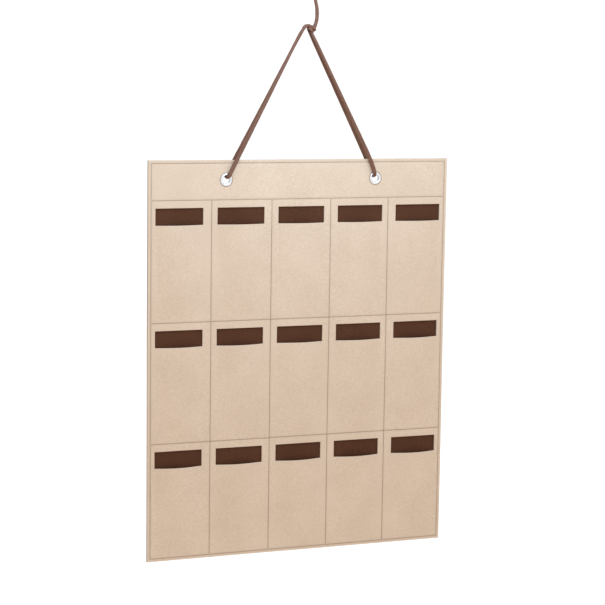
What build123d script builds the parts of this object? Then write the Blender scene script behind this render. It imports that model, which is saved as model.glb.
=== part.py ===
from build123d import *

import os
from math import pi, radians, tan

# Hanging eyewear organizer: two felt sheets sewn together, punched windows over shallow pockets, two eyelets
# in the header band and a doubled cord that is gathered in a wrap and ends in a hanging loop.
# Millimetres. +Z is up, the front faces -Y, and the origin is where the loop's inside bears on its hook.

# ---- felt panel ----
PANEL_WIDTH = 400.0
PANEL_HEIGHT = 500.0
FELT = 2.0
PANEL_X = -15.0  # the panel's middle, left of the hook

# ---- seams, measured down from the panel's top edge and out from its middle ----
HEADER_DEPTH = 49.0
ROW_PITCH = 151.2
COLUMN_PITCH = 79.0
BORDER_INSET = 3.7
THREAD_WIDTH = 0.7
THREAD_PROUD = 0.35
SEAM_GAP = 0.6  # left between a thread line and the one that it meets

# ---- windows and pockets ----
ROWS = 3
COLUMNS = 5
WINDOW_PITCH = 80.0
WINDOW_WIDTH = 61.5
WINDOW_HEIGHT = 21.0
WINDOW_BELOW_SEAM = 9.6
POCKET_END_CLEAR = 5.0  # from the pocket's foot up to the seam that closes it
POCKET_GAP = 6.0  # how far the felt stands off at the pocket's mouth
POCKET_MID_GAP = 5.2
POCKET_FOOT_GAP = 0.2
POCKET_MID = 0.55  # share of the pocket's depth down to its middle section
POCKET_HALF = (31.0, 30.0, 26.0)  # half the width of the hollow at mouth, middle and foot
ARCH_SPREAD = 5.0  # the outer arch's half width less the inner one's, at the interface of the sheets

# ---- eyelets ----
EYELET_X = 100.0
EYELET_DOWN = 24.4
EYELET_BORE_R = 5.0
BARREL_R = 5.5
FELT_HOLE_R = 5.6
FLANGE_R = 7.75
FLANGE_PEAK_R = 6.4
FLANGE_PROUD = 1.0
DOME_IN_R = 5.45  # a point of the dome inside its peak, and how far it lies behind the peak
DOME_IN_DROP = 0.3
DOME_OUT_R = 7.38  # and one outside it
DOME_OUT_DROP = 0.45
WASHER_R = 7.6
WASHER_THICK = 0.6
WASHER_CHAMFER = 0.3
ROLL_R = 6.4
ROLL_PEAK_R = 5.85
ROLL_PROUD = 0.35
ROLL_LIP = 0.2  # how far the roll turns back into the bore

# ---- cord ----
CORD_R = 2.25
WRAP_X = 11.4
WRAP_UP = 162.6
WRAP_R = 6.2
WRAP_LENGTH = 9.0
WRAP_ROUND = 3.0
WRAP_LEAN = 43.0  # degrees that the wrap's axis leans to the right
KNOT_BOTTOM_UP = 206.0
KNOT_HEIGHT = 12.0
KNOT_R = 6.6
KNOT_ROUND = 3.4
ARC_SHARE = 0.45  # of the shorter run at a corner that its arc takes up

# Each route is a list of (x from the panel's middle, y, height over the panel's top edge).
LEFT_LEG = [
    (11.1, -2.3, 155.6),
    (8.9, -2.3, 165.3),
    (1.7, -2.3, 165.7),
    (-3.6, -2.3, 156.9),
    (-86.5, -5.2, 2.0),
    (-99.2, -6.0, -22.9),
    (-99.2, 6.0, -22.9),
    (-86.2, 5.2, 2.0),
    (-1.7, 2.3, 156.8),
    (2.8, 2.3, 165.3),
    (9.6, 2.3, 164.5),
    (11.1, 2.3, 155.8),
]
RIGHT_LEG = [
    (11.3, -2.3, 154.8),
    (90.6, -5.2, 2.0),
    (98.9, -6.0, -22.9),
    (98.9, 6.0, -22.9),
    (89.2, 5.2, 2.0),
    (11.3, 2.3, 155.0),
]
DROP_CORD = [
    (15.0, 0.0, 206.0),
    (15.0, 0.0, 198.6),
    (18.5, 0.0, 188.6),
    (19.2, 0.0, 177.2),
    (16.7, 0.0, 168.2),
]
LOOP = [
    (12.6, 0.0, 217.0),
    (8.0, 0.0, 227.5),
    (-0.1, 0.0, 239.5),
    (-0.1, 0.0, 251.0),
    (8.75, 0.0, 259.85),
    (21.25, 0.0, 259.85),
    (30.1, 0.0, 251.0),
    (30.1, 0.0, 239.5),
    (22.0, 0.0, 227.5),
    (17.4, 0.0, 217.0),
]

HOOK_UP = LOOP[4][2] - CORD_R  # the hook's bearing point, over the panel's top edge


def at(x, y, up):
    """A point given from the panel's middle and top edge, in the part's own frame."""
    return Vector(PANEL_X + x, y, up - HOOK_UP)


def window_x(column):
    return (column - (COLUMNS - 1) / 2) * WINDOW_PITCH


def seam_x(column):
    return (column - (COLUMNS - 2) / 2) * COLUMN_PITCH


def seam_down(row):
    """The seam above a row of pockets, and for the last one the border that closes the third row."""
    return HEADER_DEPTH + row * ROW_PITCH if row < ROWS else PANEL_HEIGHT - BORDER_INSET


def block(x0, x1, y0, y1, up0, up1):
    """A box between two corners, in panel places."""
    middle = at((x0 + x1) / 2, (y0 + y1) / 2, (up0 + up1) / 2)
    return Pos(*middle) * Box(abs(x1 - x0), abs(y1 - y0), abs(up1 - up0))


def plain_sheet(y0, y1):
    """One felt sheet with its two eyelet holes."""
    half = PANEL_WIDTH / 2
    sheet = block(-half, half, y0, y1, -PANEL_HEIGHT, 0)
    for x in (-EYELET_X, EYELET_X):
        hole = Pos(*at(x, (y0 + y1) / 2, -EYELET_DOWN)) * Rot(90, 0, 0) * Cylinder(FELT_HOLE_R, 2 * FELT)
        sheet -= hole
    return sheet


def arch(x, up, half_width, rise):
    """A flat face bounded by a chord at y = 0 and an arc that stands out towards the front."""
    left, right = at(x - half_width, 0, up), at(x + half_width, 0, up)
    top = at(x, -rise, up)
    return make_face(Curve() + [ThreePointArc(left, top, right), Line(right, left)])


def pocket_body(x, up_mouth, up_foot, extra_rise, extra_half):
    """The space under the pocket's felt, or with extra_rise the space together with the felt."""
    up_middle = up_mouth + POCKET_MID * (up_foot - up_mouth)
    places = zip((up_mouth, up_middle, up_foot), POCKET_HALF, (POCKET_GAP, POCKET_MID_GAP, POCKET_FOOT_GAP))
    sections = [arch(x, up, half + extra_half, gap + extra_rise) for up, half, gap in places]
    return loft(sections, ruled=True)


def front_sheet():
    sheet = plain_sheet(-FELT, 0)
    for row in range(ROWS):
        window_top = -(seam_down(row) + WINDOW_BELOW_SEAM)
        mouth = window_top - WINDOW_HEIGHT
        foot = -(seam_down(row + 1) - POCKET_END_CLEAR)
        for column in range(COLUMNS):
            x = window_x(column)
            sheet += pocket_body(x, mouth, foot, FELT, ARCH_SPREAD)
            sheet -= pocket_body(x, mouth, foot, 0, 0)
            half = WINDOW_WIDTH / 2
            sheet -= block(x - half, x + half, -2 * FELT, FELT, mouth, window_top)
    return sheet


def thread(x0, x1, up0, up1):
    """A thread line on the front face and the same line on the back face."""
    front = block(x0, x1, -FELT - THREAD_PROUD, -FELT, up0, up1)
    back = block(x0, x1, FELT, FELT + THREAD_PROUD, up0, up1)
    return [front, back]


def border_thread():
    """The thread round the four edges, as one ring on each face."""
    middle, half_thread = PANEL_WIDTH / 2 - BORDER_INSET, THREAD_WIDTH / 2
    low, high = -PANEL_HEIGHT + BORDER_INSET, -BORDER_INSET
    wide, narrow = middle + half_thread, middle - half_thread
    rings = []
    for y0, y1 in ((-FELT - THREAD_PROUD, -FELT), (FELT, FELT + THREAD_PROUD)):
        outer = block(-wide, wide, y0, y1, low - half_thread, high + half_thread)
        inner = block(-narrow, narrow, y0 - FELT / 2, y1 + FELT / 2, low + half_thread, high - half_thread)
        rings.append(outer - inner)
    return rings


def row_thread(row):
    half = PANEL_WIDTH / 2 - BORDER_INSET - THREAD_WIDTH / 2 - SEAM_GAP
    up = -seam_down(row)
    return thread(-half, half, up - THREAD_WIDTH / 2, up + THREAD_WIDTH / 2)


def column_thread(column):
    """A column's thread, in one stretch for each row of pockets."""
    clear = THREAD_WIDTH / 2 + SEAM_GAP
    x = seam_x(column)
    stretches = []
    for row in range(ROWS):
        top, low = -seam_down(row) - clear, -seam_down(row + 1) + clear
        stretches += thread(x - THREAD_WIDTH / 2, x + THREAD_WIDTH / 2, low, top)
    return stretches


def turned(x, outline):
    """A ring turned about an eyelet's own axis, from an outline of (radius, y) points."""
    profile = make_face(Curve() + outline)
    ring = revolve(profile, Axis.Y)
    return Pos(*at(x, 0, -EYELET_DOWN)) * ring


def eyelet(x):
    """The barrel with its domed front flange and its end rolled over the washer."""
    face, peak = -FELT, -FELT - FLANGE_PROUD
    back, roll = FELT + WASHER_THICK, FELT + WASHER_THICK + ROLL_PROUD
    dome_in = ThreePointArc((EYELET_BORE_R, face), (DOME_IN_R, peak + DOME_IN_DROP), (FLANGE_PEAK_R, peak))
    dome_out = ThreePointArc((FLANGE_PEAK_R, peak), (DOME_OUT_R, peak + DOME_OUT_DROP), (FLANGE_R, face))
    outline = [
        dome_in,
        dome_out,
        Line((FLANGE_R, face), (BARREL_R, face)),
        Line((BARREL_R, face), (BARREL_R, back)),
        Line((BARREL_R, back), (ROLL_R, back)),
        ThreePointArc((ROLL_R, back), (ROLL_PEAK_R, roll), (EYELET_BORE_R, back - ROLL_LIP)),
        Line((EYELET_BORE_R, back - ROLL_LIP), (EYELET_BORE_R, face)),
    ]
    return turned(x, outline)


def washer(x):
    """The flat ring between the back sheet and the rolled end."""
    outline = [
        Line((FELT_HOLE_R, FELT), (WASHER_R, FELT)),
        Line((WASHER_R, FELT), (WASHER_R - WASHER_CHAMFER, FELT + WASHER_THICK)),
        Line((WASHER_R - WASHER_CHAMFER, FELT + WASHER_THICK), (FELT_HOLE_R, FELT + WASHER_THICK)),
        Line((FELT_HOLE_R, FELT + WASHER_THICK), (FELT_HOLE_R, FELT)),
    ]
    return turned(x, outline)


def cord(name, route):
    """A round cord along straight runs joined by tangent arcs, each as large as its two runs allow."""
    points = [at(*place) for place in route]
    radii = []
    for before, corner, after in zip(points, points[1:], points[2:]):
        arriving, leaving = corner - before, after - corner
        half_turn = radians(arriving.get_angle(leaving) / 2)
        shorter = min(arriving.length, leaving.length)
        radii.append(ARC_SHARE * shorter / tan(half_turn))
    path = FilletPolyline(*points, radius=radii)
    start = Plane(origin=path @ 0, z_dir=path % 0)
    tube = sweep(start * Circle(CORD_R), path=path)
    expected = pi * CORD_R**2 * path.length
    print(name, "radii", [round(r, 1) for r in radii], "length", round(path.length, 1))
    print(name, "volume", round(tube.volume, 1), "section times length", round(expected, 1))
    return tube


def rounded_barrel(radius, length, rounding, place):
    barrel = Cylinder(radius, length)
    return place * fillet(barrel.edges().filter_by(GeomType.CIRCLE), rounding)


def apex_wrap():
    """The tight turns that gather the legs, leaning to the right."""
    place = Pos(*at(WRAP_X, 0, WRAP_UP)) * Rot(0, WRAP_LEAN, 0)
    return rounded_barrel(WRAP_R, WRAP_LENGTH, WRAP_ROUND, place)


def hanging_knot():
    """The knot that closes the loop, with flat ends that the cords meet."""
    middle = at(-PANEL_X, 0, KNOT_BOTTOM_UP + KNOT_HEIGHT / 2)
    return rounded_barrel(KNOT_R, KNOT_HEIGHT, KNOT_ROUND, Pos(*middle))


def all_nodes():
    nodes = {
        "back_sheet": plain_sheet(0, FELT),
        "front_sheet": front_sheet(),
        "border_stitching": Compound(children=border_thread()),
        "header_seam": Compound(children=row_thread(0)),
        "row_seam_upper": Compound(children=row_thread(1)),
        "row_seam_lower": Compound(children=row_thread(2)),
        "apex_wrap": apex_wrap(),
        "hanging_knot": hanging_knot(),
        "left_leg": cord("left_leg", LEFT_LEG),
        "right_leg": cord("right_leg", RIGHT_LEG),
        "drop_cord": cord("drop_cord", DROP_CORD),
        "hanging_loop": cord("hanging_loop", LOOP),
    }
    for column in range(COLUMNS - 1):
        nodes[f"column_seam_{column + 1}"] = Compound(children=column_thread(column))
    for side, x in (("left", -EYELET_X), ("right", EYELET_X)):
        nodes[f"eyelet_{side}"] = eyelet(x)
        nodes[f"eyelet_washer_{side}"] = washer(x)
    return nodes


os.makedirs("parts", exist_ok=True)
for node_name, node in all_nodes().items():
    export_step(node, f"parts/{node_name}.step")
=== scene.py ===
import math
import random

import bmesh
import bpy
import numpy as np
from mathutils import Matrix, Vector


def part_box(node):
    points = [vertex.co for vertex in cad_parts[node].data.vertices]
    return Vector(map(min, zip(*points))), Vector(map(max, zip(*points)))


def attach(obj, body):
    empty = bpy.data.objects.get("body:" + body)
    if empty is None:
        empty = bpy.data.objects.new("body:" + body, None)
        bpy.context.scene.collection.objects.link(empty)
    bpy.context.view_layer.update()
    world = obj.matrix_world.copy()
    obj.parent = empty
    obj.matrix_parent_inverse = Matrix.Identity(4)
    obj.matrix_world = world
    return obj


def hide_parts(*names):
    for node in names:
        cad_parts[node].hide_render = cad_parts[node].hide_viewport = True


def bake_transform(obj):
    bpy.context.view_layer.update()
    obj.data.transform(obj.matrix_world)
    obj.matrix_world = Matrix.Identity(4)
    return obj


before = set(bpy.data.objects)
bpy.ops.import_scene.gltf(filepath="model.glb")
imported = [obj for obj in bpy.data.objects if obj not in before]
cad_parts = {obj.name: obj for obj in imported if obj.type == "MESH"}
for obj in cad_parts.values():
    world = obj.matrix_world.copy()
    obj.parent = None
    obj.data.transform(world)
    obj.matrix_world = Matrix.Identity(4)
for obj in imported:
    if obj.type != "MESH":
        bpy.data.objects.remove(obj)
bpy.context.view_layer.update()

MM = 0.001
rng = random.Random(7)

# ---------------------------------------------------------------- sizes, in millimetres
# PANEL_LOW and PANEL_HIGH are the panel's corners in metres, and a name that ends in _M is in metres.
PANEL_LOW, PANEL_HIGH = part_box("back_sheet")
PANEL_MIDDLE_X_M = (PANEL_LOW[0] + PANEL_HIGH[0]) / 2
PANEL_TOP_M = PANEL_HIGH[2]
PANEL_WIDTH = (PANEL_HIGH[0] - PANEL_LOW[0]) / MM
PANEL_HEIGHT = (PANEL_HIGH[2] - PANEL_LOW[2]) / MM
FELT = (PANEL_HIGH[1] - PANEL_LOW[1]) / MM

HEADER_DEPTH = 49.0  # from the panel's top edge down to the header seam
ROW_PITCH = 151.2
COLUMN_PITCH = 79.0
BORDER_INSET = 3.7
ROWS, COLUMNS = 3, 5
WINDOW_PITCH = 80.0
WINDOW_WIDTH = 61.5
WINDOW_HEIGHT = 21.0
WINDOW_BELOW_SEAM = 9.6
POCKET_END_CLEAR = 5.0  # from the foot of a pocket's stand-off to the seam under it
POCKET_GAP = 6.0  # how far a pocket's front stands off at its mouth
POCKET_HALF = 31.0  # half the width that stands off

EYELET_X = 100.0
EYELET_DOWN = 24.4
FELT_HOLE_R = 5.6
EYELET_BORE_R = 5.0
BARREL_R = 5.5
FLANGE_R = 7.75
FLANGE_PEAK_R = 6.4
FLANGE_PROUD = 1.0
WASHER_R = 7.6
WASHER_THICK = 0.6
ROLL_R = 6.4
ROLL_PROUD = 0.35
LATHE_SIDES = 96

CHANNEL_DEPTH = 0.25  # how far a seam pulls the felt in
CHANNEL_WIDTH = 1.3
SHADE_RING_WIDTH = 0.7  # the width of the ring of painted shade on the felt under an eyelet's edge
EYELET_RING_SHADE = 10  # how much darker that ring's painted shade is than a seam channel's painted shade
STITCH_PITCH = 2.4
STITCH_LENGTH = 1.05
STITCH_STEPS = 5
THREAD_R = 0.4
THREAD_SIDES = 5

# The felt's grid: its widest step, its step round the eyelets, the least gap between two lines, and the lines
# on either side of a seam or a cut.
GRID_STEP = 2.4
FINE_STEP = 1.0
LEAST_GAP = 0.45
BESIDE = (0, 0.7, -0.7, 1.6, -1.6, 2.8, -2.8)
HOLE_REACH = FELT_HOLE_R + 4  # how far from an eyelet's middle the grid is fine
EDGE_ROUNDING = 0.45

CORD_SIDES = 20
SECTION_SQUARENESS = 0.85  # 1 is an ellipse, and less is squarer

# The cord's routes: (x from the panel's middle, y, height over the panel's top edge).
LEFT_LEG = [
    (11.1, -2.3, 155.6),
    (8.9, -2.3, 166.3),
    (2.2, -2.3, 165.6),
    (-4.3, -2.3, 157.0),
    (-8.0, -2.4, 150.5),
    (-74.0, -4.8, 25.5),
    (-86.5, -5.2, 2.0),
    (-93.3, -5.6, -11.0),
    (-98.7, -6.0, -21.6),
    (-98.7, 6.0, -21.6),
    (-93.0, 5.6, -11.0),
    (-86.2, 5.2, 2.0),
    (-73.2, 4.8, 26.0),
    (-7.4, 2.3, 147.7),
    (-1.7, 2.3, 156.8),
    (2.8, 2.3, 166.2),
    (9.6, 2.3, 165.2),
    (11.1, 2.3, 155.8),
]
RIGHT_LEG = [
    (9.2, -2.3, 159.2),
    (78.2, -4.8, 26.0),
    (90.4, -5.2, 2.0),
    (95.3, -5.6, -10.2),
    (98.2, -6.0, -21.6),
    (98.2, 6.0, -21.6),
    (94.4, 5.6, -10.6),
    (89.0, 5.2, 2.0),
    (76.9, 4.8, 26.0),
    (6.9, 2.3, 162.0),
]
DROP_CORD = [
    (15.0, 0.0, 207.2),
    (15.0, 0.0, 198.6),
    (17.7, 0.0, 188.6),
    (18.2, 0.0, 177.2),
    (16.8, 0.0, 169.0),
    (14.4, 0.0, 163.5),
]
LOOP = [
    (12.9, 0.0, 215.0),
    (8.0, 0.0, 227.5),
    (-0.1, 0.0, 239.5),
    (-0.1, 0.0, 251.0),
    (8.75, 0.0, 259.85),
    (21.25, 0.0, 259.85),
    (30.1, 0.0, 251.0),
    (30.1, 0.0, 239.5),
    (22.0, 0.0, 227.5),
    (17.1, 0.0, 215.0),
]

COIL_STEP = 30  # degrees between the points of a coil, which makes 12 a turn

# The turns that gather the legs: their middle, their lean, their radii sideways and forwards, and how far the
# last turn lies from the middle.
WRAP_X, WRAP_UP, WRAP_LEAN = 10.6, 161.6, math.radians(52)
WRAP_R = 3.7
WRAP_FRONT_R = 4.6
WRAP_SPREAD = 2.8
WRAP_STEPS = 24
WRAP_TUCK = 0.6  # how far each of the last points lies inside the one before

# The knot that closes the hanging loop: its axis, its foot, its height and its radii.
KNOT_X, KNOT_FOOT, KNOT_HEIGHT = 15, 207.6, 8.6
KNOT_R = 4.3
KNOT_START_R = 3.4
KNOT_END_R = 2.6
KNOT_STEPS = 30
KNOT_START = 200  # the angle of its first point, in degrees

FLOOR_HALF_M = 30.0
FLOOR_BELOW_M = 0.3
WORLD_STRENGTH = 1.08
KEY_COLOUR = (0.46, 0.72, 1.0)

CAMERA_PLACE = (-888.0, -2284.6, 137.0)
CAMERA_TURN, CAMERA_PITCH, CAMERA_ROLL = 0.3722, 0.1288, 0.014
CAMERA_LENS = 116.5


def at(x, y, up):
    """A point given from the panel's middle and top edge in millimetres, in the row frame in metres."""
    return Vector((PANEL_MIDDLE_X_M + x * MM, y * MM, PANEL_TOP_M + up * MM))


def window_x(column):
    """The middle of a column's windows."""
    return (column - (COLUMNS - 1) / 2) * WINDOW_PITCH


def seam_x(column):
    """The seam to the right of a column."""
    return (column - (COLUMNS - 2) / 2) * COLUMN_PITCH


def seam_down(row):
    """How far down the seam over a row is, or the border seam after the last row."""
    return HEADER_DEPTH + row * ROW_PITCH if row < ROWS else PANEL_HEIGHT - BORDER_INSET


def window_top(row):
    """The height of a row's upper window edge."""
    return -(seam_down(row) + WINDOW_BELOW_SEAM)


def distances_along(points):
    """How far along a line each of its points lies, from 0 at the first."""
    return np.concatenate([[0], np.cumsum(np.linalg.norm(np.diff(points, axis=0), axis=1))])


# ---------------------------------------------------------------- materials
def srgb(red, green, blue):
    """A colour as the eye names it, 0 to 255, for a shader's socket."""
    linear = []
    for part in (red, green, blue):
        c = part / 255
        linear.append(c / 12.92 if c <= 0.04045 else ((c + 0.055) / 1.055) ** 2.4)
    return (*linear, 1.0)


class Shader:
    """A material with a principled shader, and short calls for the nodes that feed it."""

    def __init__(self, name, roughness, metallic=0.0, sheen=0.0, sheen_roughness=0.5, specular=0.5):
        self.material = bpy.data.materials.new(name)
        self.material.use_nodes = True
        self.tree = self.material.node_tree
        self.out = self.tree.nodes["Principled BSDF"]
        self.out.inputs["Roughness"].default_value = roughness
        self.out.inputs["Metallic"].default_value = metallic
        self.out.inputs["Specular IOR Level"].default_value = specular
        self.out.inputs["Sheen Weight"].default_value = sheen
        self.out.inputs["Sheen Roughness"].default_value = sheen_roughness

    def node(self, kind, **inputs):
        """A new node with some of its sockets set."""
        made = self.tree.nodes.new(kind)
        for key, value in inputs.items():
            made.inputs[key.replace("_", " ")].default_value = value
        return made

    def link(self, source, target, socket):
        self.tree.links.new(source, target.inputs[socket])

    def feed(self, made, sockets):
        """Sets each socket of a node to a value, or links an output to it."""
        for socket, value in sockets:
            if isinstance(value, (int, float, tuple)):
                made.inputs[socket].default_value = value
            else:
                self.tree.links.new(value, made.inputs[socket])

    def place(self, scale=(1, 1, 1), turn=(0, 0, 0), uv=False):
        """The object's own coordinates, or its UV map, scaled and turned."""
        coordinates = self.node("ShaderNodeTexCoord").outputs["UV" if uv else "Object"]
        mapping = self.node("ShaderNodeMapping", Scale=scale, Rotation=turn)
        self.link(coordinates, mapping, "Vector")
        return mapping.outputs["Vector"]

    def noise(self, where, scale, detail=3.0, rough=0.55):
        made = self.node("ShaderNodeTexNoise", Scale=scale, Detail=detail, Roughness=rough)
        self.link(where, made, "Vector")
        return made.outputs["Fac"]

    def ramp(self, factor, stops):
        """A colour ramp; each stop is (position, colour)."""
        made = self.node("ShaderNodeValToRGB")
        elements = made.color_ramp.elements
        while len(elements) < len(stops):
            elements.new(0.5)
        for element, (position, colour) in zip(elements, stops):
            element.position = position
            element.color = colour
        self.link(factor, made, "Fac")
        return made.outputs["Color"]

    def mix(self, factor, first, second, blend="MIX"):
        """Two colours mixed, through the colour sockets of the Mix node."""
        made = self.tree.nodes.new("ShaderNodeMix")
        made.data_type = "RGBA"
        made.blend_type = blend
        self.feed(made, ((0, factor), (6, first), (7, second)))
        return made.outputs[2]

    def math(self, operation, first, second=0.5):
        made = self.tree.nodes.new("ShaderNodeMath")
        made.operation = operation
        self.feed(made, ((0, first), (1, second)))
        return made.outputs[0]

    def roughness(self, factor, smooth, dull):
        """Lets the roughness follow a pattern, from smooth to dull."""
        rough = self.node("ShaderNodeMapRange", From_Min=0.3, From_Max=0.7, To_Min=smooth, To_Max=dull)
        self.link(factor, rough, "Value")
        self.link(rough.outputs["Result"], self.out, "Roughness")

    def bump(self, heights):
        """Bumps one after the other: each is (height, strength, distance in metres)."""
        normal = None
        for height, strength, distance in heights:
            made = self.node("ShaderNodeBump", Strength=strength, Distance=distance)
            self.link(height, made, "Height")
            if normal is not None:
                self.link(normal, made, "Normal")
            normal = made.outputs["Normal"]
        self.link(normal, self.out, "Normal")

    def colour(self, value):
        self.link(value, self.out, "Base Color")


def felt_material(name, dark, middle, light, painted_shade_colour, fuzz):
    """Pressed felt: short fibres lying every way and soft clouds of colour, with painted shade: darker in the
    seams' channels and in a ring round each eyelet's flange.
    """
    s = Shader(name, roughness=0.9, sheen=fuzz, sheen_roughness=0.45, specular=0.12)
    fibres = s.noise(s.place((1, 1, 5), (0, 0.6, 0)), 620, 4)
    crossed = s.noise(s.place((5, 1, 1), (0, 0.35, 0)), 540, 4)
    clouds = s.noise(s.place(), 22, 4, 0.55)
    mottle = s.noise(s.place(), 620, 3, 0.6)
    fibre_mix = s.math("ADD", s.math("MULTIPLY", fibres, 0.5), s.math("MULTIPLY", crossed, 0.5))
    tone = s.math("ADD", s.math("MULTIPLY", mottle, 0.4), s.math("MULTIPLY", fibre_mix, 0.45))
    tone = s.math("ADD", tone, s.math("MULTIPLY", clouds, 0.15))
    colour = s.ramp(tone, [(0.32, dark), (0.5, middle), (0.68, light)])
    # Painted shade from the 'seam' attribute: the felt is multiplied slightly darker in the seams' channels
    # and much darker in a ring round each eyelet's flange.
    seam = s.node("ShaderNodeAttribute")
    seam.attribute_name = "seam"
    colour = s.mix(s.math("MULTIPLY", seam.outputs["Fac"], 0.1), colour, painted_shade_colour, "MULTIPLY")
    s.colour(colour)
    s.bump([(fibre_mix, 0.3, 0.0005), (mottle, 0.2, 0.0005)])
    return s.material


def thread_material():
    """Twisted sewing thread."""
    s = Shader("sewing_thread", roughness=0.6, sheen=0.2)
    twist = s.node("ShaderNodeTexWave", Scale=900)
    twist.bands_direction = "DIAGONAL"
    s.link(s.place(), twist, "Vector")
    uneven = s.noise(s.place(), 300, 2)
    s.colour(s.ramp(uneven, [(0.3, srgb(88, 60, 38)), (0.7, srgb(118, 86, 58))]))
    s.bump([(twist.outputs["Fac"], 0.4, 0.0002)])
    return s.material


def cord_material():
    """Brown leather lace: a fine grain, streaks along its length and lighter rubbed places."""
    s = Shader("brown_leather_cord", roughness=0.5, specular=0.3)
    streaks = s.noise(s.place((60, 5, 1), uv=True), 5, 4, 0.6)
    grain = s.noise(s.place(), 900, 3, 0.6)
    rubbed = s.noise(s.place((10, 1.5, 1), uv=True), 4, 3)
    tone = s.math("ADD", s.math("MULTIPLY", streaks, 0.65), s.math("MULTIPLY", grain, 0.35))
    colour = s.ramp(tone, [(0.34, srgb(74, 43, 28)), (0.5, srgb(97, 59, 40)), (0.66, srgb(118, 76, 54))])
    rubbed = s.ramp(rubbed, [(0.5, (0, 0, 0, 1)), (0.8, (0.3, 0.3, 0.3, 1))])
    s.colour(s.mix(rubbed, colour, srgb(152, 108, 84)))
    s.roughness(streaks, 0.42, 0.62)
    s.bump([(streaks, 0.35, 0.0004), (grain, 0.3, 0.0003)])
    return s.material


def eyelet_material():
    """Bright nickel plate, hardly worn in front, with painted shade: a darker grey inside the barrel and
    behind.
    """
    s = Shader("nickel_plate", roughness=0.16, metallic=1.0)
    wear = s.noise(s.place(), 260, 3, 0.5)
    bright = s.ramp(wear, [(0.3, srgb(214, 214, 217)), (0.6, srgb(238, 238, 241))])
    # Painted shade: everything behind the front felt's face, the barrel, the rolled end and the washers, gets
    # a darker grey.
    split = s.node("ShaderNodeSeparateXYZ")
    s.link(s.place(), split, "Vector")
    barrel_shade = s.math("GREATER_THAN", split.outputs["Y"], -FELT * MM)
    s.colour(s.mix(barrel_shade, bright, srgb(168, 168, 173)))
    s.roughness(wear, 0.12, 0.2)
    return s.material


def floor_material():
    """Plain pale ground."""
    s = Shader("pale_floor", roughness=0.8)
    s.colour(s.ramp(s.noise(s.place(), 0.8, 2), [(0.3, srgb(252, 252, 251)), (0.7, srgb(254, 254, 253))]))
    return s.material


BEIGE_FELT = felt_material(
    "beige_felt",
    dark=srgb(176, 148, 123),
    middle=srgb(192, 164, 139),
    light=srgb(207, 180, 155),
    painted_shade_colour=srgb(150, 130, 112),
    fuzz=0.25,
)
BROWN_FELT = felt_material(
    "brown_felt",
    dark=srgb(54, 29, 16),
    middle=srgb(73, 42, 25),
    light=srgb(92, 56, 37),
    painted_shade_colour=srgb(150, 140, 130),
    fuzz=0.03,
)
THREAD = thread_material()
CORD = cord_material()
METAL = eyelet_material()


def new_object(name, mesh, material):
    """An object in the scene, smooth and with one material."""
    obj = bpy.data.objects.new(name, mesh)
    bpy.context.scene.collection.objects.link(obj)
    mesh.materials.clear()
    mesh.materials.append(material)
    mesh.shade_smooth()
    return obj


def face_outwards(mesh):
    """Turns every face of a closed mesh outwards."""
    bm = bmesh.new()
    bm.from_mesh(mesh)
    bmesh.ops.recalc_face_normals(bm, faces=bm.faces)
    bm.to_mesh(mesh)
    bm.free()


# ---------------------------------------------------------------- the felt's shape
POCKETS = [
    {
        "x": window_x(column),
        "mouth": window_top(row) - WINDOW_HEIGHT,
        "foot": -(seam_down(row + 1) - POCKET_END_CLEAR),
        "gap": POCKET_GAP * rng.uniform(0.86, 1.04),
        "shift": rng.uniform(-2.5, 2.5),
        "fall": rng.uniform(1.7, 2.5),
    }
    for row in range(ROWS)
    for column in range(COLUMNS)
]


def standoff(x, up):
    """How far the front felt stands off the back felt, over arrays of panel places."""
    total = np.zeros(np.broadcast(x, up).shape)
    for p in POCKETS:
        along = (p["mouth"] - up) / (p["mouth"] - p["foot"])
        inside = (along >= -1e-6) & (along < 1)
        along = np.clip(along, 0, 1)
        across = (x - p["x"]) / (POCKET_HALF * (1 - 0.1 * along))
        across = np.clip(across - p["shift"] / POCKET_HALF * (1 - across**2), -1, 1)
        arch = (1 - across**2) ** 1.35
        total += np.where(inside, p["gap"] * (1 - along ** p["fall"]) * arch, 0)
    return total


def seam_lines():
    """Every seam as (along x or z, its place, its start, its end), in panel places."""
    half = PANEL_WIDTH / 2 - BORDER_INSET
    low, high = -PANEL_HEIGHT + BORDER_INSET, -BORDER_INSET
    lines = [("x", up, -half, half) for up in (low, high)]
    lines += [("z", x, low, high) for x in (-half, half)]
    lines += [("x", -seam_down(row), -half, half) for row in range(ROWS)]
    lines += [("z", seam_x(column), low, -HEADER_DEPTH) for column in range(COLUMNS - 1)]
    return lines


def seam_pull(x, up):
    """From 0, away from every seam, to 1 on a thread line."""
    pull = np.zeros(np.broadcast(x, up).shape)
    for way, place, start, end in seam_lines():
        across, along = (up, x) if way == "x" else (x, up)
        past = np.maximum(0, np.maximum(start - along, along - end))
        away = np.hypot(across - place, past)
        pull = np.maximum(pull, np.exp(-((away / CHANNEL_WIDTH) ** 2)))
    return pull


def from_eyelet(x, up):
    """How far a panel place is from the nearer eyelet's middle."""
    left = np.hypot(x + EYELET_X, up + EYELET_DOWN)
    right = np.hypot(x - EYELET_X, up + EYELET_DOWN)
    return np.minimum(right, left)


def eyelet_shade_ring(x, up):
    """From 0 to 1 on the ring of felt round an eyelet's flange edge, where shade is painted."""
    return np.exp(-(((from_eyelet(x, up) - FLANGE_R) / SHADE_RING_WIDTH) ** 2))


def warp(x, up):
    """The panel's own slight waves, none near the eyelets."""
    waves = 0.35 * np.sin(x / 63 + 1.1) * np.sin(up / 91) + 0.25 * np.sin(x / 37 + up / 55)
    return waves * np.clip((from_eyelet(x, up) - 12) / 40, 0, 1)


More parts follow.
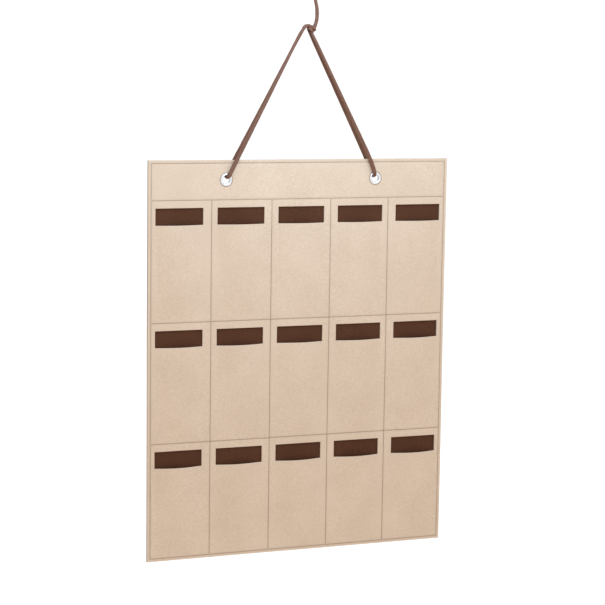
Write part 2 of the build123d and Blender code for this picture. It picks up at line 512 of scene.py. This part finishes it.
def lines_between(low, high, features, fine_spans):
    """Grid lines from low to high: through each feature and beside it, and close together in fine spans."""
    wanted = {low, high}
    wanted |= {f + b for f in features for b in BESIDE if low < f + b < high}
    for start, end in fine_spans:
        wanted |= set(np.arange(start, end, FINE_STEP).tolist())
    lines = []
    for line in sorted(wanted):
        crowded = bool(lines) and line - lines[-1] < LEAST_GAP
        if crowded and line not in features and line not in (low, high):
            continue
        if crowded and lines[-1] not in features and lines[-1] != low:
            lines.pop()
        lines.append(line)
    filled = [lines[0]]
    for line in lines[1:]:
        count = max(1, math.ceil((line - filled[-1]) / GRID_STEP - 1e-6))
        filled += np.linspace(filled[-1], line, count + 1)[1:].tolist()
    return np.array(filled)


def grid_lines():
    """The felt grid's lines: every x and every height."""
    seams = seam_lines()
    x_features = [place for way, place, _, _ in seams if way == "z"] + [-EYELET_X, EYELET_X]
    up_features = [place for way, place, _, _ in seams if way == "x"]
    for column in range(COLUMNS):
        x_features += [window_x(column) - WINDOW_WIDTH / 2, window_x(column) + WINDOW_WIDTH / 2]
    for row in range(ROWS):
        up_features += [window_top(row), window_top(row) - WINDOW_HEIGHT]
    x_fine = [(x - HOLE_REACH, x + HOLE_REACH) for x in (-EYELET_X, EYELET_X)]
    up_fine = [(-EYELET_DOWN - HOLE_REACH, -EYELET_DOWN + HOLE_REACH)]
    xs = lines_between(-PANEL_WIDTH / 2, PANEL_WIDTH / 2, x_features, x_fine)
    ups = lines_between(-PANEL_HEIGHT, 0, up_features, up_fine)
    return xs, ups


def felt_cells(xs, ups, windows):
    """Which of the grid's cells are felt: not the eyelets' holes, nor the windows if there are any."""
    x, up = np.meshgrid((xs[:-1] + xs[1:]) / 2, (ups[:-1] + ups[1:]) / 2)
    keep = np.ones(x.shape, bool)
    for eyelet_x in (-EYELET_X, EYELET_X):
        keep &= np.hypot(x - eyelet_x, up + EYELET_DOWN) > FELT_HOLE_R
    if windows:
        for row in range(ROWS):
            for column in range(COLUMNS):
                inside_x = abs(x - window_x(column)) < WINDOW_WIDTH / 2
                inside_up = abs(up - window_top(row) + WINDOW_HEIGHT / 2) < WINDOW_HEIGHT / 2
                keep &= ~(inside_x & inside_up)
    return keep


def grid_points(xs, ups, keep):
    """The grid's points, with those on the edge of an eyelet's hole pulled onto its circle."""
    grid_x, grid_up = np.meshgrid(xs, ups)
    padded = np.pad(keep, 1, constant_values=True)
    corners = [padded[:-1, :-1], padded[1:, :-1], padded[:-1, 1:], padded[1:, 1:]]
    edge = sum(c.astype(int) for c in corners) < 4
    for eyelet_x in (-EYELET_X, EYELET_X):
        dx, dup = grid_x - eyelet_x, grid_up + EYELET_DOWN
        away = np.hypot(dx, dup)
        pull = np.where(edge & (away < HOLE_REACH), FELT_HOLE_R / np.maximum(away, 1e-6), 1.0)
        grid_x, grid_up = eyelet_x + dx * pull, -EYELET_DOWN + dup * pull
    return grid_x, grid_up


def sheet_faces(keep):
    """The faces of a closed sheet: both sides of each kept cell, and an edge where a cell has no neighbour.
    The inner side's points come after all of the outer side's."""
    columns = keep.shape[1] + 1
    count = (keep.shape[0] + 1) * columns
    whole = np.pad(keep, 1, constant_values=False)
    faces = []
    for j, i in np.argwhere(keep):
        a, b = j * columns + i, j * columns + i + 1
        c, d = b + columns, a + columns
        faces.append((a, b, c, d))
        faces.append((a + count, d + count, c + count, b + count))
        sides = (
            ((j, i + 1), (b, a)),
            ((j + 2, i + 1), (d, c)),
            ((j + 1, i), (a, d)),
            ((j + 1, i + 2), (c, b)),
        )
        for beyond, (p, q) in sides:
            if not whole[beyond]:
                faces.append((p, q, q + count, p + count))
    return faces


def felt_sheet(name, windows, outer, inner):
    """A closed felt sheet between two surfaces y = outer(x, up) and y = inner(x, up), with its cut edges."""
    xs, ups = grid_lines()
    keep = felt_cells(xs, ups, windows)
    grid_x, grid_up = grid_points(xs, ups, keep)
    front = np.stack([grid_x, outer(grid_x, grid_up), grid_up], -1).reshape(-1, 3)
    back = np.stack([grid_x, inner(grid_x, grid_up), grid_up], -1).reshape(-1, 3)
    faces = sheet_faces(keep)
    used = np.unique([v for face in faces for v in face])
    renumber = {int(v): k for k, v in enumerate(used)}
    points = np.concatenate([front, back])[used]
    mesh = bpy.data.meshes.new(name)
    mesh.from_pydata([at(*p) for p in points], [], [[renumber[int(v)] for v in face] for face in faces])
    # The 'seam' attribute holds painted shade: the seams' channels, and a much stronger ring at each eyelet's
    # flange edge.
    seam = mesh.attributes.new("seam", "FLOAT", "POINT")
    x, up = points[:, 0], points[:, 2]
    dark = seam_pull(x, up) + EYELET_RING_SHADE * eyelet_shade_ring(x, up)
    seam.data.foreach_set("value", dark.astype(np.float32))
    mesh.validate()
    return mesh


def front_outer(x, up):
    """The front felt's visible side."""
    return -FELT - standoff(x, up) + CHANNEL_DEPTH * seam_pull(x, up) + warp(x, up)


def front_inner(x, up):
    """The side of the front felt that a pocket holds its glasses against."""
    return -standoff(x, up) + warp(x, up)


def back_outer(x, up):
    """The back felt's side towards the pockets."""
    return warp(x, up)


def back_inner(x, up):
    """The back felt's side towards the wall."""
    return FELT - CHANNEL_DEPTH * seam_pull(x, up) + warp(x, up)


def soften_edges(obj):
    """Rounds the felt's cut edges a little."""
    bevel = obj.modifiers.new("soft_cut_edges", "BEVEL")
    bevel.width = EDGE_ROUNDING * MM
    bevel.segments = 2
    bevel.limit_method = "ANGLE"
    bevel.angle_limit = math.radians(55)
    bevel.harden_normals = True


def make_felt():
    """The two felt sheets, the front one with its windows and pockets."""
    front = new_object("front_felt", felt_sheet("front_felt", True, front_outer, front_inner), BEIGE_FELT)
    back = new_object("back_felt", felt_sheet("back_felt", False, back_outer, back_inner), BROWN_FELT)
    for obj, node, slot in ((front, "front_sheet", "front_felt"), (back, "back_sheet", "back_felt")):
        soften_edges(obj)
        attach(obj, "panel")
        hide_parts(node)


# ---------------------------------------------------------------- tubes, for threads and cords
def tube_rings(points, wide, thick, sides, across=None):
    """Rings round a line of points, wide and thick on their two half axes, numbers or one for each point.
    Without a direction across, the wide axis starts square to Y and is carried along without a twist."""
    ahead = np.gradient(points, axis=0)
    ahead /= np.linalg.norm(ahead, axis=1)[:, None]
    wide, thick = np.broadcast_to(wide, len(points)), np.broadcast_to(thick, len(points))
    angles = np.linspace(0, 2 * math.pi, sides, endpoint=False)
    flat_cos = np.sign(np.cos(angles)) * abs(np.cos(angles)) ** SECTION_SQUARENESS
    flat_sin = np.sign(np.sin(angles)) * abs(np.sin(angles)) ** SECTION_SQUARENESS
    side = np.cross(ahead[0], (0.0, 1.0, 0.0) if abs(ahead[0][1]) < 0.9 else (1.0, 0.0, 0.0))
    rings = []
    for k, (p, direction) in enumerate(zip(points, ahead)):
        side = side if across is None else np.asarray(across, float)
        side = side - direction * side.dot(direction)
        side /= np.linalg.norm(side)
        other = np.cross(direction, side)
        rings.append(p + wide[k] * flat_cos[:, None] * side + thick[k] * flat_sin[:, None] * other)
    return np.array(rings)


def tube_mesh(name, tubes, wide, thick, sides, across=None):
    """One mesh of closed tubes, each with rounded ends, and a UV map with its length along U."""
    vertices, faces, uvs = [], [], []
    for points in tubes:
        points = np.asarray(points, float)
        rings = tube_rings(points, wide, thick, sides, across)
        lengths = distances_along(points)
        base = len(vertices)
        vertices += rings.reshape(-1, 3).tolist()
        for k in range(len(points) - 1):
            for s in range(sides):
                a, b = base + k * sides + s, base + k * sides + (s + 1) % sides
                faces.append((a, a + sides, b + sides, b))
                u0, u1 = lengths[k], lengths[k + 1]
                v0, v1 = s / sides, (s + 1) / sides
                uvs += [(u0, v0), (u1, v0), (u1, v1), (u0, v1)]
        last = len(points) - 1
        for ring, inner, outward in (
            (0, points[0], points[0] - points[1]),
            (last, points[-1], points[-1] - points[-2]),
        ):
            tip = len(vertices)
            reach = np.linalg.norm(rings[ring] - inner, axis=1).mean()
            vertices.append((inner + outward / np.linalg.norm(outward) * reach * 0.5).tolist())
            for s in range(sides):
                a, b = base + ring * sides + s, base + ring * sides + (s + 1) % sides
                faces.append((a, tip, b) if ring == last else (b, tip, a))
                uvs += [(lengths[ring], s / sides)] * 3
    mesh = bpy.data.meshes.new(name)
    mesh.from_pydata(vertices, [], faces)
    layer = mesh.uv_layers.new(name="UVMap")
    layer.data.foreach_set("uv", np.array(uvs, np.float32).ravel())
    face_outwards(mesh)
    return mesh


# ---------------------------------------------------------------- stitches
def stitch(way, place, start, end, front):
    """One stitch: a short thread that rises out of the felt and dives back into it."""
    points = []
    slant = rng.uniform(-0.12, 0.12)
    lift = rng.uniform(0.9, 1.1)
    for k in range(STITCH_STEPS):
        t = k / (STITCH_STEPS - 1)
        along = start + (end - start) * t
        across = place + slant * (t - 0.5) * 2
        x, up = (along, across) if way == "x" else (across, along)
        over = lift * (0.62 * math.sin(math.pi * t) ** 0.55 - 0.42)
        surface = -FELT + CHANNEL_DEPTH - over if front else FELT - CHANNEL_DEPTH + over
        points.append(at(x, float(warp(x, up) + surface), up))
    return [tuple(p) for p in points]


def stitch_run(way, place, start, end):
    """Stitches along one line, on both faces; the back ones fall between the front ones."""
    threads = []
    count = max(1, round((end - start) / STITCH_PITCH))
    pitch = (end - start) / count
    for k in range(count):
        middle = start + (k + 0.5) * pitch
        half = STITCH_LENGTH / 2 * rng.uniform(0.95, 1.05)
        threads.append(stitch(way, place, middle - half, middle + half, True))
        if k < count - 1:
            threads.append(stitch(way, place, middle + pitch / 2 - half, middle + pitch / 2 + half, False))
    return threads


def make_stitching():
    """The stitches of every seam, one piece for each of the CAD's seams."""
    half = PANEL_WIDTH / 2 - BORDER_INSET
    low, high = -PANEL_HEIGHT + BORDER_INSET, -BORDER_INSET
    border = [("x", up, -half, half) for up in (low, high)]
    border += [("z", x, low, high) for x in (-half, half)]
    seams = {"border_stitching": border}
    for name, row in (("header_seam", 0), ("row_seam_upper", 1), ("row_seam_lower", 2)):
        seams[name] = [("x", -seam_down(row), -half + 1, half - 1)]
    for column in range(COLUMNS - 1):
        seams[f"column_seam_{column + 1}"] = [("z", seam_x(column), low + 1, -HEADER_DEPTH - 1)]
    for node, lines in seams.items():
        threads = [thread for line in lines for thread in stitch_run(*line)]
        mesh = tube_mesh(node, threads, THREAD_R * MM, THREAD_R * MM, THREAD_SIDES)
        obj = new_object(f"{node}_stitches", mesh, THREAD)
        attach(obj, "panel")
        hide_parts(node)


# ---------------------------------------------------------------- cord
def smooth_line(route):
    """The points along a route's NURBS spline."""
    curve = bpy.data.curves.new("route", "CURVE")
    curve.dimensions = "3D"
    curve.resolution_u = 16
    spline = curve.splines.new("NURBS")
    spline.points.add(len(route) - 1)
    for point, place in zip(spline.points, route):
        point.co = (*at(*place), 1)
    spline.order_u = 3
    spline.use_endpoint_u = True
    bare = bpy.data.objects.new("route", curve)
    mesh = bpy.data.meshes.new_from_object(bare)
    line = np.array([v.co for v in mesh.vertices], float)
    bpy.data.objects.remove(bare)
    bpy.data.meshes.remove(mesh)
    return line


def height_over_panel(line):
    """How far over the panel's top edge each point of a line is, in millimetres."""
    return (line[:, 2] - PANEL_TOP_M) / MM


def thin_ends(line, wide, thick):
    """A leg's ends, which lie inside the other leg or the wrap, a little thinner than the rest."""
    along = distances_along(line) / MM
    near = np.minimum(along, along[-1] - along)
    scale = 0.8 + 0.2 * np.clip(near / 5, 0, 1)
    return wide * scale, thick * scale


def leg_section(line):
    """A leg's half width and half thickness: the lace is rounder near the apex and flatter at its eyelet."""
    up = height_over_panel(line)
    down = np.clip((165 - up) / 185, 0, 1)
    in_bore = np.exp(-((line[:, 1] / MM / 4) ** 2)) * (up < -15)
    wide = (1.9 + 0.65 * down**1.5) * (1 - 0.1 * in_bore)
    return thin_ends(line, wide, 1.95 - 0.2 * down - 0.05 * in_bore)


def drop_section(line):
    """The drop strand's half width and half thickness: it widens a little below its knot."""
    wide = 2.05 + 0.25 * np.clip((194 - height_over_panel(line)) / 10, 0, 1)
    return wide, np.full(len(line), 1.8)


def loop_section(line):
    """The hanging loop's half width and half thickness."""
    return np.full(len(line), 2.15), np.full(len(line), 1.85)


def coil_section(line):
    """The lace of the wrap and the knot, pulled thinner."""
    return np.full(len(line), 1.85), np.full(len(line), 1.55)


def cord_mesh(name, route, section, across=None):
    """A piece of lace along a route, slightly uneven: the object, the line it follows and its length."""
    line = smooth_line(route)
    along = distances_along(line)
    uneven = 1 + 0.02 * np.sin(along * 310) + 0.015 * np.sin(along * 730 + 1)
    wide, thick = section(line)
    mesh = tube_mesh(name, [line], wide * uneven * MM, thick * uneven * MM, CORD_SIDES, across)
    return new_object(name, mesh, CORD), line, float(along[-1])


def cord_piece(name, route, section, body, node, across=None):
    """A piece of lace that rides on one body."""
    obj, line, length = cord_mesh(name, route, section, across)
    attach(obj, body)
    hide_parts(node)
    return obj, line, length


def leg_piece(name, route):
    """A leg, with its transform baked in; it rides on no body."""
    obj, line, length = cord_mesh(f"{name}_cord", route, leg_section)
    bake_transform(obj)
    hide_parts(name)
    return obj, line, length


def wrap_axis():
    """The way the wrap's turns follow each other."""
    return Vector((math.sin(WRAP_LEAN), 0, math.cos(WRAP_LEAN)))


def wrap_route():
    """Two tight turns round the gathered legs, with both ends tucked in behind."""
    axis = wrap_axis()
    across = Vector((math.cos(WRAP_LEAN), 0, -math.sin(WRAP_LEAN)))
    front = Vector((0, -1, 0))
    middle = Vector((WRAP_X, 0, WRAP_UP))
    route = []
    for step in range(WRAP_STEPS + 1):
        angle = math.radians(step * COIL_STEP - 90)
        tucked = max(0, 3 - step, step - WRAP_STEPS + 3)
        from_middle = step / (WRAP_STEPS / 2) - 1
        rise = WRAP_SPREAD * math.sin(math.pi / 2 * from_middle) * (1 - 0.25 * tucked)
        sideways = (WRAP_R - WRAP_TUCK * tucked) * math.cos(angle)
        forwards = (WRAP_FRONT_R - WRAP_TUCK * tucked) * math.sin(angle)
        route.append(tuple(middle + axis * rise - across * sideways + front * forwards))
    return route


def knot_route():
    """The turns of the knot that closes the hanging loop, with both ends tucked in."""
    route = []
    for step in range(KNOT_STEPS + 1):
        angle = math.radians(step * COIL_STEP + KNOT_START)
        radius = KNOT_R
        if step < 3:
            radius = KNOT_START_R
        elif step > KNOT_STEPS - 3:
            radius = KNOT_END_R
        up = KNOT_FOOT + KNOT_HEIGHT * step / KNOT_STEPS
        route.append((KNOT_X + radius * math.cos(angle), -radius * math.sin(angle), up))
    return route


def make_cord():
    """The whole cord: the wrap, the knot, both legs, the drop strand and the hanging loop."""
    wrap, _, _ = cord_piece("apex_wrap_turns", wrap_route(), coil_section, "sling", "apex_wrap", wrap_axis())
    knot, _, _ = cord_piece(
        "hanging_knot_turns", knot_route(), coil_section, "hook_loop", "hanging_knot", (0, 0, 1)
    )
    leg, line, length = leg_piece("left_leg", LEFT_LEG)
    leg, line, length = leg_piece("right_leg", RIGHT_LEG)
    drop, line, length = cord_piece("drop_cord_strand", DROP_CORD, drop_section, "drop", "drop_cord")
    loop, line, length = cord_piece("hanging_loop_cord", LOOP, loop_section, "hook_loop", "hanging_loop")


# ---------------------------------------------------------------- eyelets
def lathe(name, outline, x):
    """A closed ring turned about an eyelet's axis from a closed outline of (radius, y) points."""
    count = len(outline)
    vertices, faces = [], []
    for s in range(LATHE_SIDES):
        angle = 2 * math.pi * s / LATHE_SIDES
        vertices += [at(x + r * math.cos(angle), y, -EYELET_DOWN + r * math.sin(angle)) for r, y in outline]
        step = count if s < LATHE_SIDES - 1 else -s * count
        for k in range(count):
            a, b = s * count + k, s * count + (k + 1) % count
            faces.append((a, b, b + step, a + step))
    mesh = bpy.data.meshes.new(name)
    mesh.from_pydata(vertices, [], faces)
    face_outwards(mesh)
    return new_object(name, mesh, METAL)


def bow(centre, half_r, half_y, start, end, steps=8):
    """Points on an ellipse about (radius, y), from one angle in degrees to another."""
    angles = [math.radians(start + (end - start) * k / steps) for k in range(steps + 1)]
    return [(centre[0] + half_r * math.cos(a), centre[1] + half_y * math.sin(a)) for a in angles]


def eyelet_outline(back):
    """The section of an eyelet: its domed flange, its barrel and the rolled end at y = back."""
    peak = (FLANGE_PEAK_R, -FELT)
    roll = ((ROLL_R + EYELET_BORE_R) / 2, back)
    outline = bow(peak, FLANGE_PEAK_R - EYELET_BORE_R, FLANGE_PROUD, 180, 270)
    outline += bow(peak, FLANGE_R - FLANGE_PEAK_R, FLANGE_PROUD, 270, 360)[1:]
    outline += [(BARREL_R, -FELT), (BARREL_R, back)]
    outline += bow(roll, (ROLL_R - EYELET_BORE_R) / 2, ROLL_PROUD, 0, 180)
    return outline


def washer_outline(back):
    """The section of a washer, with a rounded outer edge."""
    return [
        (FELT_HOLE_R, FELT),
        (WASHER_R, FELT),
        (WASHER_R, back - 0.3),
        (WASHER_R - 0.1, back - 0.1),
        (WASHER_R - 0.3, back),
        (FELT_HOLE_R, back),
    ]


def make_eyelets():
    """The two eyelets and their washers."""
    back = FELT + WASHER_THICK
    eyelet = eyelet_outline(back)
    washer = washer_outline(back)
    for side, x in (("left", -EYELET_X), ("right", EYELET_X)):
        for node, outline in ((f"eyelet_{side}", eyelet), (f"eyelet_washer_{side}", washer)):
            ring = lathe(f"{node}_ring", outline, x)
            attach(ring, "panel")
            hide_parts(node)


# ---------------------------------------------------------------- stage, light and camera
def make_stage():
    """A plain pale floor and an even white world."""
    half = FLOOR_HALF_M
    z = PANEL_LOW[2] - FLOOR_BELOW_M
    mesh = bpy.data.meshes.new("floor")
    corners = [(-half, -half, z), (half, -half, z), (half, half, z), (-half, half, z)]
    mesh.from_pydata(corners, [], [(0, 1, 2, 3)])
    new_object("floor", mesh, floor_material())

    world = bpy.data.worlds.new("studio")
    world.use_nodes = True
    world.node_tree.nodes["Background"].inputs["Color"].default_value = (1, 1, 1, 1)
    world.node_tree.nodes["Background"].inputs["Strength"].default_value = WORLD_STRENGTH
    bpy.context.scene.world = world


def area_light(name, target, offset, size, power, colour=(1, 1, 1)):
    """A soft square light that stands off its target and points at it; offset and size are in metres."""
    light = bpy.data.lights.new(name, "AREA")
    light.size = size
    light.energy = power
    light.color = colour
    place = target + Vector(offset)
    obj = bpy.data.objects.new(name, light)
    obj.location = place
    obj.rotation_euler = (target - place).to_track_quat("-Z", "Y").to_euler()
    bpy.context.scene.collection.objects.link(obj)


def make_lights():
    """A small key over the header and a large light behind, to lift the back."""
    header = at(0, 0, -HEADER_DEPTH)
    middle = at(0, 0, -PANEL_HEIGHT / 2)
    area_light("key", header, (0.0, -0.38, 0.42), size=0.5, power=5.6, colour=KEY_COLOUR)
    area_light("rear", middle, (0.6, 2.6, 1.8), size=2.0, power=14)


def make_camera():
    """The camera at the photograph's angle: to the left of the panel, above its top edge, and level but for a
    slight roll."""
    camera = bpy.data.cameras.new("camera")
    camera.lens = CAMERA_LENS
    camera.sensor_width = 36.0
    camera.clip_end = 100
    obj = bpy.data.objects.new("camera", camera)
    place = Matrix.Translation(at(*CAMERA_PLACE))
    aim = Matrix.Rotation(-CAMERA_TURN, 4, "Z") @ Matrix.Rotation(math.pi / 2 - CAMERA_PITCH, 4, "X")
    obj.matrix_world = place @ aim @ Matrix.Rotation(CAMERA_ROLL, 4, "Z")
    bpy.context.scene.collection.objects.link(obj)
    bpy.context.scene.camera = obj
    bpy.context.scene.view_settings.view_transform = "Standard"


make_camera()
make_cord()
make_felt()
make_stitching()
make_eyelets()
make_stage()
make_lights()
